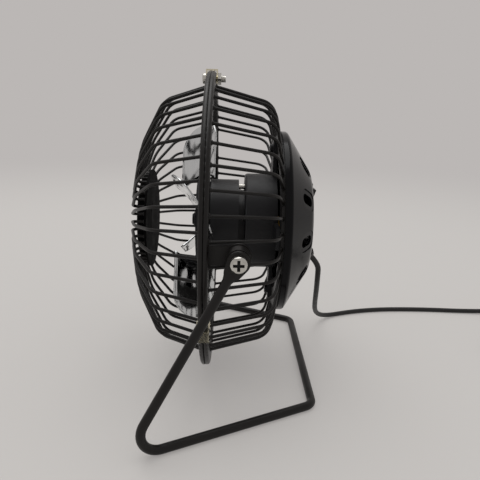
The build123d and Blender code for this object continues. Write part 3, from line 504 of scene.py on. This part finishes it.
# Lead: a thin lead in black PVC. It leaves the back of the cover through a soft relief, hangs to
# the table, and what the fan doesn't need is wound into a flat coil under a strap.
pvc = drifting_finish(
    "Black extruded PVC", "#0e0e0e", "#1a1918", patch=0.005, grain=0.0008, relief=0.00003,
    gloss=(0.36, 0.55), **{"Specular IOR Level": 0.4})
dress(pvc, "strain_relief", "coil_tie")
outlet = Vector((0.0, 0.0414, 0.064))
outlet_way = Vector((-0.3, 0.74, -0.6)).normalized()
cord_dia = 0.003
cord_r = cord_dia / 2
coil_centre = Vector((-0.045, 0.216))
coil_outer = 0.0265
coil_step = 0.00205
coil_half_turns = 8
coil_low = 0.0024
coil_high = 0.0063
coil_last_step = 0.006
plug_middle = 0.0045
plug_lead = 0.005
points_per_half_turn = 8
lead_inside = 0.005
lead_straight = 0.0124
lead_points = [
    outlet - outlet_way * lead_inside,
    outlet + outlet_way * lead_straight,
    Vector((-0.0075, 0.0512, 0.0450)),
    Vector((-0.0170, 0.0526, 0.0330)),
    Vector((-0.0295, 0.0544, 0.0215)),
    Vector((-0.0420, 0.0570, 0.0118)),
    Vector((-0.0525, 0.0618, 0.0048)),
    Vector((-0.0600, 0.0695, cord_r)),
    Vector((-0.0650, 0.0810, cord_r)),
    Vector((-0.0695, 0.0940, cord_r)),
    Vector((-0.0730, 0.1120, cord_r)),
    Vector((-0.0740, 0.1400, cord_r)),
    Vector((-0.0724, 0.1660, cord_r)),
    Vector((coil_centre.x - coil_outer, 0.190, coil_low)),
]
coil_stops = [(coil_outer - i * coil_step, coil_low) for i in range(coil_half_turns + 1)]
coil_inner = coil_stops[-1][0]
coil_stops += [(coil_inner + i * coil_step, coil_high) for i in range(coil_half_turns)]
coil_stops.append((coil_stops[-1][0] + coil_last_step, plug_middle))
outset = 1 / math.cos(math.pi / (2 * points_per_half_turn))
for i in range(len(coil_stops) - 1):
    reach, height = coil_stops[i]
    next_reach, next_height = coil_stops[i + 1]
    for k in range(points_per_half_turn):
        share = k / points_per_half_turn
        turn = math.pi * (i + 1 - share)
        radius = outset * (reach + (next_reach - reach) * share)
        lead_points.append(Vector((
            coil_centre.x + radius * math.cos(turn),
            coil_centre.y + radius * math.sin(turn),
            height + (next_height - height) * share,
        )))
coil_end = Vector((coil_centre.x + coil_stops[-1][0], coil_centre.y, plug_middle))
lead_points += [coil_end, coil_end - Vector((0, plug_lead, 0))]
route = bpy.data.curves.new("Lead route", "CURVE")
route.dimensions = "3D"
route.resolution_u = 8
spline = route.splines.new("NURBS")
spline.points.add(len(lead_points) - 1)
for point, spot in zip(spline.points, lead_points):
    point.co = (*spot, 1)
spline.order_u = 3
spline.use_endpoint_u = True
lead_route = add_piece("lead_route", route)
lead_path = [v.co.copy() for v in plain_mesh(lead_route).vertices]
route.bevel_depth = cord_r
route.bevel_resolution = 4
route.use_fill_caps = True
lead_mesh = plain_mesh(lead_route)
bpy.data.objects.remove(lead_route)
lead_mesh.materials.clear()
lead_mesh.materials.append(pvc)
lead = add_piece("lead", lead_mesh)
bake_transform(lead)
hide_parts("cord_free", "cord_coil")


# Plug: a USB plug at the lead's far end, with a moulded PVC grip, a folded shell of nickel-plated
# sheet, a white tongue and four gilt contacts.
nickel = drifting_finish(
    "Nickel-plated sheet", "#bdbcb6", "#dad9d4", patch=0.003, grain=0.0006, relief=0.00001,
    gloss=(0.18, 0.32), stretch=(1, 0.2, 1), Metallic=1.0)
white_insert = drifting_finish(
    "White moulded insert", "#d6d5cf", "#e6e5e0", patch=0.003, grain=0.0005, relief=0.00002,
    gloss=(0.4, 0.55))
dress(pvc, "plug_body")
dress(nickel, "plug_shell")
dress(white_insert, "plug_tongue")
dress(brass, "plug_contacts")


# Table and room: a pale matt table that runs into a wall of the same grey, soft light from all
# round, and one wide lamp overhead that gives the fan a faint shadow, lightened by painted light.
wall_grey = "#bbb7b5"
table_half = 4.0
near_edge = 0.35
far_edge = 1.1
painted_light_near_fan = 0.45


def pale_table():
    """Matt pale grey, lit up from all round, with a glow of its own: near the fan the glow is painted light
    that lightens the fan's shadow, and away from the fan it takes over, so the table fades into the wall's
    own grey.
    """
    material, tree = start_material("Pale matt table")
    place = add_node(tree, "ShaderNodeTexCoord").outputs["Object"]
    away = add_node(tree, "ShaderNodeVectorMath", {0: place}, operation="LENGTH").outputs["Value"]
    fade = add_node(tree, "ShaderNodeMapRange", {
        "Value": away, "From Min": near_edge, "From Max": far_edge, "To Min": painted_light_near_fan},
        interpolation_type="SMOOTHSTEP")
    top = add_node(tree, "ShaderNodeBsdfPrincipled", {"Base Color": linear("#bcb9b4"), "Roughness": 0.65})
    # Painted light: near the fan this emission makes up 45 % of the table, lightening the fan's shadow;
    # farther out it becomes the backdrop's grey.
    glow = add_node(tree, "ShaderNodeEmission", {"Color": linear(wall_grey), "Strength": 1.0})
    both = add_node(tree, "ShaderNodeMixShader", {
        0: fade.outputs["Result"], 1: top.outputs["BSDF"], 2: glow.outputs["Emission"]})
    add_node(tree, "ShaderNodeOutputMaterial", {"Surface": both.outputs["Shader"]})
    return material


table_mesh = bpy.data.meshes.new("table")
table_mesh.from_pydata(
    [(-table_half, -table_half, 0), (table_half, -table_half, 0),
     (table_half, table_half, 0), (-table_half, table_half, 0)], [], [(0, 1, 2, 3)])
table_mesh.materials.append(pale_table())
add_piece("table", table_mesh)

world = bpy.data.worlds.new("Room")
world.use_nodes = True
bpy.context.scene.world = world
room = world.node_tree
room.nodes.clear()
rays = add_node(room, "ShaderNodeLightPath")
shown = add_node(room, "ShaderNodeMath", {
    0: rays.outputs["Is Camera Ray"], 1: rays.outputs["Is Glossy Ray"]}, operation="MAXIMUM")
seen = add_node(room, "ShaderNodeMath", {
    0: shown.outputs[0], 1: rays.outputs["Is Transmission Ray"]}, operation="MAXIMUM")
backdrop = add_node(room, "ShaderNodeBackground", {"Color": linear(wall_grey), "Strength": 1.0})
fill = add_node(room, "ShaderNodeBackground", {"Color": linear("#f4f4f6"), "Strength": 1.0})
both = add_node(room, "ShaderNodeMixShader", {
    0: seen.outputs[0], 1: fill.outputs["Background"], 2: backdrop.outputs["Background"]})
add_node(room, "ShaderNodeOutputWorld", {"Surface": both.outputs["Shader"]})

lamp_place = Vector((-0.3, -0.2, 1.4))
lamp_aim = Vector((0, 0, 0.06))
lamp_data = bpy.data.lights.new("Overhead lamp", "AREA")
lamp_data.shape = "DISK"
lamp_data.size = 1.4
lamp_data.energy = 10
lamp = add_piece("Overhead lamp", lamp_data)
lamp.location = lamp_place
lamp.rotation_euler = (lamp_aim - lamp_place).to_track_quat("-Z", "Y").to_euler()


# Camera: square to the fan's side and a little above its axis, close enough for the near arm of
# the stand to look larger than the far one.
camera_place = Vector((0.27092, 0.00195, 0.1392))
camera_target = Vector((0.0, 0.0074, 0.0681))
camera_roll = math.radians(1.64)
frame_pixels = 480
focal_pixels = 529.1
camera_data = bpy.data.cameras.new("Camera")
camera_data.sensor_width = 36.0
camera_data.lens = camera_data.sensor_width * focal_pixels / frame_pixels
camera_data.clip_start = 0.005
camera = add_piece("Camera", camera_data)
aim = (camera_target - camera_place).to_track_quat("-Z", "Y").to_matrix()
camera.matrix_world = Matrix.Translation(camera_place) @ (
    aim @ Matrix.Rotation(camera_roll, 3, "Z")).to_4x4()
bpy.context.scene.camera = camera
bpy.context.scene.view_settings.view_transform = "Standard"
